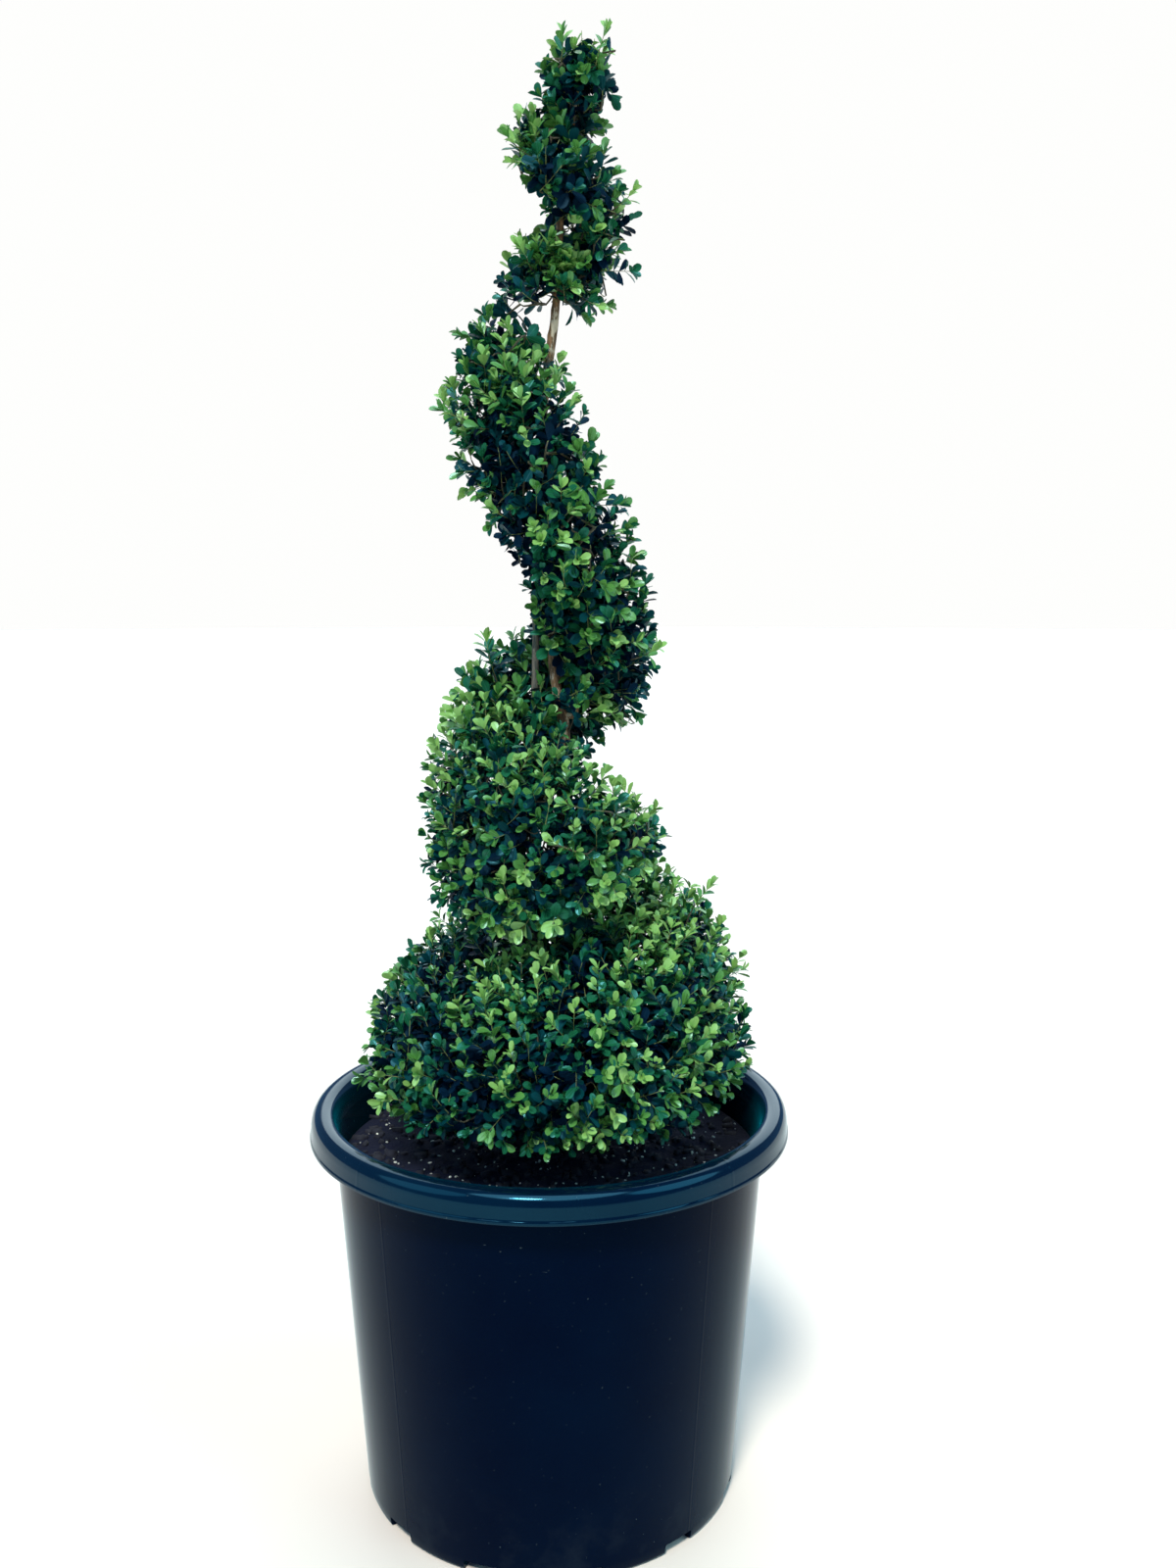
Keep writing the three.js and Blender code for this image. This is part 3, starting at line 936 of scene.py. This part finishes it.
def growCrown():
    rng = random.Random(growth["seed"])
    bendShoots(rng)
    clear = [(m, r) for line in limbLines.values() for m, r in line if clothed(m, r)]
    nodes = [(m, r * 0.5) for m, r in clear]
    boughs = growBoughs(clear, nodes, rng)
    return boughs, growTwigs(nodes, rng)


boughs, twigs = growCrown()
shoots = [shoot for shoot in shoots if not shoot.get("dropped")]
print(len(boughs), "boughs,", len(twigs), "twigs,", len(shoots), "shoots kept")


def tubes(lines, radii, sides):
    # tubes along many lines with the same number of points: returns points, quads and end faces
    paths = np.array([[tuple(p) for p in line] for line in lines])
    radii = np.asarray(radii)
    count, rows = paths.shape[:2]
    along = np.gradient(paths, axis=1)
    along /= np.linalg.norm(along, axis=2, keepdims=True) + 1e-12
    main = paths[:, -1] - paths[:, 0]
    side = np.eye(3)[np.argmin(np.abs(main), axis=1)][:, None, :]
    u = np.cross(along, side)
    u /= np.linalg.norm(u, axis=2, keepdims=True) + 1e-12
    v = np.cross(along, u)
    angle = np.arange(sides) * 2 * math.pi / sides
    ring = (u[:, :, None] * np.cos(angle)[:, None] + v[:, :, None] * np.sin(angle)[:, None])
    points = (paths[:, :, None] + ring * radii[:, :, None, None]).reshape(-1, 3)
    index = np.arange(count * rows * sides).reshape(count, rows, sides)
    a, b = index[:, :-1], index[:, 1:]
    quads = np.stack([a, np.roll(a, -1, 2), np.roll(b, -1, 2), b], axis=-1).reshape(-1, 4)
    return points, quads, index[:, -1], index[:, 0, ::-1]


def tubeGroup(items, sides):
    rows = len(items[0]["line"])
    share = np.arange(rows) / (rows - 1)
    radii = [i["radii"][0] + (i["radii"][1] - i["radii"][0]) * share for i in items]
    return tubes([i["line"] for i in items], radii, sides)


woodTwig = barkMaterial("twig bark", (0.02, 0.022, 0.016), (0.06, 0.06, 0.036), (0.1, 0.09, 0.055),
                        (0.24, 0.22, 0.17), 0.66)
greenStem, _, _ = newMaterial("young stem", BaseColor=(0.16, 0.2, 0.06), Roughness=0.5)


def makeTwigs(home):
    stems = [{"line": s["line"], "home": s["home"], "radii": growth["shoot"]} for s in shoots]
    points, groups, slots, start = [], {}, {}, 0
    for items, sides, slot in ((boughs, 6, 0), (twigs, 4, 0), (stems, 3, 1)):
        items = [i for i in items if i["home"] == home]
        if not items:
            continue
        made = tubeGroup(items, sides)
        for faces in made[1:]:
            corners = faces.shape[1]
            groups.setdefault(corners, []).append(faces + start)
            slots.setdefault(corners, []).append(np.full(len(faces), slot))
        points.append(made[0])
        start += len(made[0])
    order = sorted(groups)
    faces = [np.concatenate(groups[c]) for c in order]
    faceSlots = np.concatenate([s for c in order for s in slots[c]])
    name = home.replace("foliage", "twigs")
    mesh = joinedMesh(name, np.concatenate(points), faces, faceSlots)
    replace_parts(newPiece(name, mesh, [woodTwig, greenStem]), home)


for home in masses:
    makeTwigs(home)
print("twigs made")


leaf = {
    "seed": 29,
    "step": 0.0057,  # between pairs along a shoot
    "length": (0.0125, 0.0175),
    "lowSize": 0.88,  # leaves on the wide lower crown are shorter
    "lowBelow": 0.72,
    "freshSize": (0.62, 0.95),
    "aspect": (0.46, 0.58),
    "fold": 0.16,
    "bends": (-0.02, 0.1, 0.24),
    "rows": ((0.0, 0.0), (0.2, 0.46), (0.5, 0.92), (0.76, 1.0), (0.93, 0.62), (1.0, 0.0)),  # along, width
    "spread": (46, 70),  # degrees between leaf and shoot
    "freshSpread": (22, 48),
    "missing": 0.12,  # share of the older leaves
    "lowest": 0.334,  # no leaf ends below this, or above the top
    "top": 1.317,
    "strayTop": 1.3285,
    "vein": 70.0,
    "relief": 0.0003,
}
olderGlint = (0.25, 0.75, 1.0)
fresherGlint = (0.6, 0.9, 1.0)
leafFinishes = [  # colour, roughness, specular level and tint, from the oldest leaves to the freshest; the two darkest colours are navy-blue, painted shade for leaves deep in the crown
    ((0.0004, 0.009, 0.026), 0.45, 0.12, olderGlint),
    ((0.001, 0.04, 0.047), 0.34, 0.28, olderGlint),
    ((0.01, 0.115, 0.048), 0.27, 0.45, olderGlint),
    ((0.085, 0.265, 0.055), 0.26, 0.5, fresherGlint),
    ((0.26, 0.5, 0.13), 0.3, 0.5, fresherGlint),
]
tones = {  # 0 is the deepest green and 4 the palest
    "ground": 1.65,
    "patch": 1.5,
    # painted light: shoots that face up and to the front get paler leaves
    "light": 0.6,
    "inner": 1.4,  # deeper by this for each layer further in: painted shade inside the crown
    "loose": 0.45,
    "raise": 0.35,
    "middleRaise": 0.2,  # for the middle turns of the spiral
    "middleHeights": (0.75, 1.06),
    "fresh": 0.9,
}
paintedLightShadePatches = [  # parts of the front with paler and darker leaves, partly fresher and older growth and partly painted light and painted shade: middle (x, z), reach and change in tone
    ((0.066, 0.606), 0.045, 1.9),
    ((0.105, 0.550), 0.035, 1.2),
    ((0.000, 0.545), 0.025, 1.0),
    ((-0.100, 0.475), 0.045, -1.2),
    ((-0.060, 0.425), 0.04, -0.8),
    ((-0.030, 0.365), 0.03, -0.6),
    ((-0.140, 0.405), 0.03, 0.6),
    ((-0.055, 0.725), 0.045, 0.8),
    ((0.000, 0.495), 0.04, -0.8),
    ((0.050, 0.395), 0.04, 0.8),
    ((-0.054, 0.650), 0.035, -1.1),
    ((-0.033, 0.872), 0.025, -1.3),
    ((0.022, 0.822), 0.04, -0.3),
    ((-0.026, 0.796), 0.02, 0.6),
    ((-0.023, 1.240), 0.025, 0.9),
]


def leafTemplate(bend):
    # a leaf of length and width 1 from the origin along Y, folded a little at its rib
    points, uvs = [], []
    for along, width in leaf["rows"]:
        sides = (0,) if width == 0 else (-1, 0, 1)
        for side in sides:
            lift = leaf["fold"] * abs(side) * width * 0.5 - bend * along ** 2
            points.append((side * width * 0.5, along, lift))
            uvs.append((0.5 + side * 0.48 * width, 0.02 + 0.96 * along))
    triangles, quads = [(0, 2, 1), (0, 3, 2)], []
    last = len(leaf["rows"]) - 3
    for row in range(last):
        for k in (0, 1):
            a = 1 + 3 * row + k
            quads.append((a, a + 1, a + 4, a + 3))
    end = 1 + 3 * last
    tip = end + 3
    triangles += [(end, end + 1, tip), (end + 1, end + 2, tip)]
    return np.array(points), np.array(uvs), np.array(triangles), np.array(quads)


templates = [leafTemplate(bend) for bend in leaf["bends"]]


def leafMaterial(name, colour, shine, gloss, glint):
    material, tree, shader = newMaterial(name, BaseColor=colour, SpecularIORLevel=gloss, SpecularTint=glint)
    uv = addNode(tree, "UVMap", uv_map="OFBake").outputs["UV"]
    across = addNode(tree, "SeparateXYZ", {"Vector": uv})
    middle = addMath(tree, "ABSOLUTE", addMath(tree, "SUBTRACT", across.outputs["X"], 0.5))
    rib = addRange(tree, middle, 0.0, 0.06, 0.0, 1.0)
    slant = addMath(tree, "ADD", across.outputs["Y"], addMath(tree, "MULTIPLY", middle, -0.5))
    veins = addMath(tree, "SINE", addMath(tree, "MULTIPLY", slant, leaf["vein"]))
    height = addMath(tree, "ADD", rib, addMath(tree, "MULTIPLY", veins, 0.08))
    tree.links.new(addBump(tree, height, leaf["relief"], 0.7), shader.inputs["Normal"])
    tree.links.new(addRange(tree, rib, 0.0, 1.0, shine + 0.15, shine), shader.inputs["Roughness"])
    return material


leafMaterials = [leafMaterial("leaf " + str(i + 1), *finish) for i, finish in enumerate(leafFinishes)]


def shootTone(shoot, rng):
    # neighbouring shoots are alike
    if "tone" in shoot:
        return shoot["tone"]
    place, normal = shoot["tip"], shoot["normal"]
    patch = noise.noise(place * 17) * 1.5 + noise.noise(place * 45) * 0.8
    # painted light: the tone rises where the shoot faces up and to the front
    light = normal.dot(Vector((-0.1, -0.35, 0.93)))
    low, high = tones["middleHeights"]
    lift = tones["middleRaise"] if low < place.z < high else tones["raise"]
    # painted light and painted shade: patches of the front are made paler or darker
    if normal.y < 0.3:
        lift += sum(change * math.exp(-(math.hypot(place.x - x, place.z - z) / reach) ** 2)
                    for (x, z), reach, change in paintedLightShadePatches)
    own = tones["ground"] + tones["patch"] * patch + tones["light"] * light + lift
    return own - tones["inner"] * shoot["inner"] + rng.gauss(0, tones["loose"])


def shootLeaves(shoot, rng, out):
    line, way, tip = shoot["line"], shoot["way"], shoot["tip"]
    tone = shootTone(shoot, rng)
    turn = rng.uniform(0, math.pi)
    sideA = way.orthogonal().normalized()
    sideB = way.cross(sideA)
    count = max(2, int(shoot["stem"] / leaf["step"]))
    size = rng.uniform(*leaf["length"]) * (leaf["lowSize"] if tip.z < leaf["lowBelow"] else 1)
    highest = leaf["strayTop"] if "tone" in shoot else leaf["top"]
    for k in range(count + 2):
        t = min(1.0, (k + 0.6) / (count + 0.6))
        span = t * (len(line) - 1)
        j = min(int(span), len(line) - 2)
        place = line[j].lerp(line[j + 1], span - j)
        fresh = k >= count - 1
        angles = leaf["freshSpread"] if fresh else leaf["spread"]
        spread = math.radians(rng.uniform(*angles))
        if k == count + 1:
            spread *= 0.55
        pairLength = size * (rng.uniform(*leaf["freshSize"]) if fresh else 1.0)
        angle = turn + k * (math.pi / 2 + rng.gauss(0, 0.12))
        for half in (0, math.pi):
            if not fresh and rng.random() < leaf["missing"]:
                continue
            a = angle + half + rng.gauss(0, 0.14)
            lean = spread + rng.gauss(0, 0.12)
            sideways = sideA * math.cos(a) + sideB * math.sin(a)
            y = (way * math.cos(lean) + sideways * math.sin(lean)).normalized()
            face = way * 0.9 + up * 0.45 + shoot["normal"] * 0.25
            face += Vector((rng.gauss(0, 0.2), rng.gauss(0, 0.2), rng.gauss(0, 0.2)))
            z = face - y * face.dot(y)
            if z.length < 1e-4:
                continue
            z.normalize()
            x = y.cross(z)
            length = pairLength * rng.uniform(0.88, 1.1)
            end = place + y * length
            if limbGap(place) < 0.0 or limbGap(end) < 0.001 or inGap(end):
                continue
            if end.z > highest or end.z < leaf["lowest"]:
                continue
            value = tone + (tones["fresh"] if fresh else -tones["fresh"]) + rng.gauss(0, 0.25)
            out.append((*place, *x, *y, *z, length, length * rng.uniform(*leaf["aspect"]),
                        rng.randrange(len(templates)), min(4, max(0, round(value)))))


def makeLeaves(home, rows):
    # a row holds a leaf's foot, its three axes, length, width, template and tint
    data = np.array(rows)
    points, tris, quads, uvs, triSlots, quadSlots, start = [], [], [], [], [], [], 0
    for kind, (shape, uv, triangles, squares) in enumerate(templates):
        own = data[data[:, 14] == kind]
        x, y, z = own[:, 3:6], own[:, 6:9], own[:, 9:12]
        length, width, tint = own[:, 12], own[:, 13], own[:, 15]
        across, along, lift = (shape[None, :, axis, None] for axis in range(3))
        grown = own[:, None, :3] + across * (x * width[:, None])[:, None]
        grown += along * (y * length[:, None])[:, None]
        grown += lift * (z * length[:, None])[:, None]
        offset = (start + np.arange(len(own)) * len(shape))[:, None, None]
        points.append(grown.reshape(-1, 3))
        uvs.append(np.tile(uv, (len(own), 1)))
        tris.append((triangles[None] + offset).reshape(-1, 3))
        quads.append((squares[None] + offset).reshape(-1, 4))
        triSlots.append(np.repeat(tint, len(triangles)))
        quadSlots.append(np.repeat(tint, len(squares)))
        start += grown.shape[0] * grown.shape[1]
    name = home.replace("foliage", "leaves")
    mesh = joinedMesh(name, np.concatenate(points), [np.concatenate(tris), np.concatenate(quads)],
                      np.concatenate(triSlots + quadSlots), np.concatenate(uvs))
    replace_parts(newPiece(name, mesh, leafMaterials), home)


def makeAllLeaves():
    rng = random.Random(leaf["seed"])
    rows = {home: [] for home in masses}
    for shoot in shoots:
        shootLeaves(shoot, rng, rows[shoot["home"]])
    for home, own in rows.items():
        makeLeaves(home, own)
    tints = np.concatenate([np.array(own)[:, 15] for own in rows.values()])
    print(len(tints), "leaves, by tint", np.bincount(tints.astype(int)).tolist())


makeAllLeaves()
